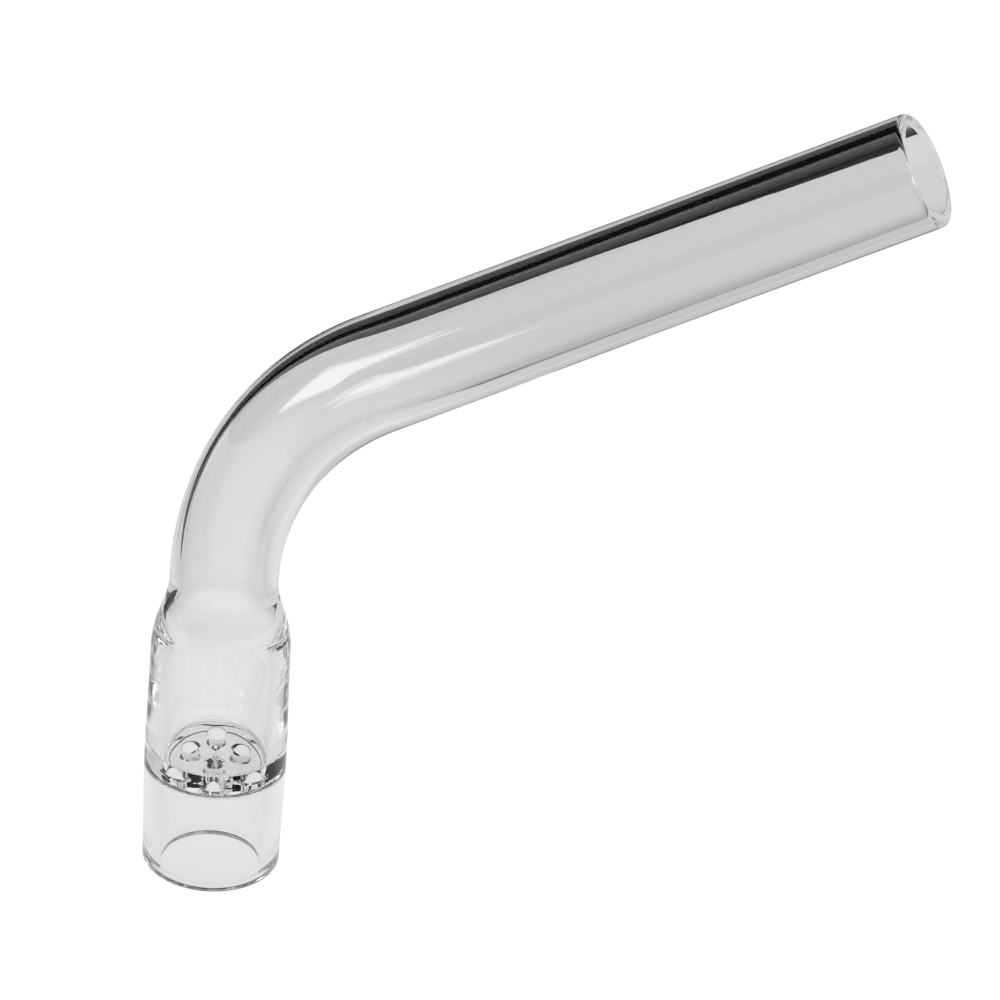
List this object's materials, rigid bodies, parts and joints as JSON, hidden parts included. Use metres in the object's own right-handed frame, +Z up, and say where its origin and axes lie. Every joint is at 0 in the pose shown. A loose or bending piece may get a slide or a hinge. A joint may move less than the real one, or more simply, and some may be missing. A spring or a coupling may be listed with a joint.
{
  "type": "bent glass stem with a fused screen disc",
  "caption": "Clear glass stem: a bent thick-walled tube with an open mouth, drawn onto a wider chamber with a pierced glass disc and an open plug end.",
  "frame": {"origin": "centre of the plug's open end, on the axis of the plug and chamber", "axes": "+Z up the axis of the plug and chamber, away from the socket that holds the plug; +X the side that the arm leans towards; the bend lies in the XZ plane"},
  "size_m": [0.097, 0.0184, 0.1193],
  "materials": {
    "clear_glass": "clear drawn borosilicate tube, fire-polished ends",
    "disc_glass": "clear pressed borosilicate, slightly wavy, holes with melted edges"
  },
  "bodies": {
    "root": {"plug_sleeve": "clear_glass", "screen_disc": "disc_glass", "chamber_tube": "clear_glass", "stem_tube": "clear_glass"}
  },
  "joints": []
}
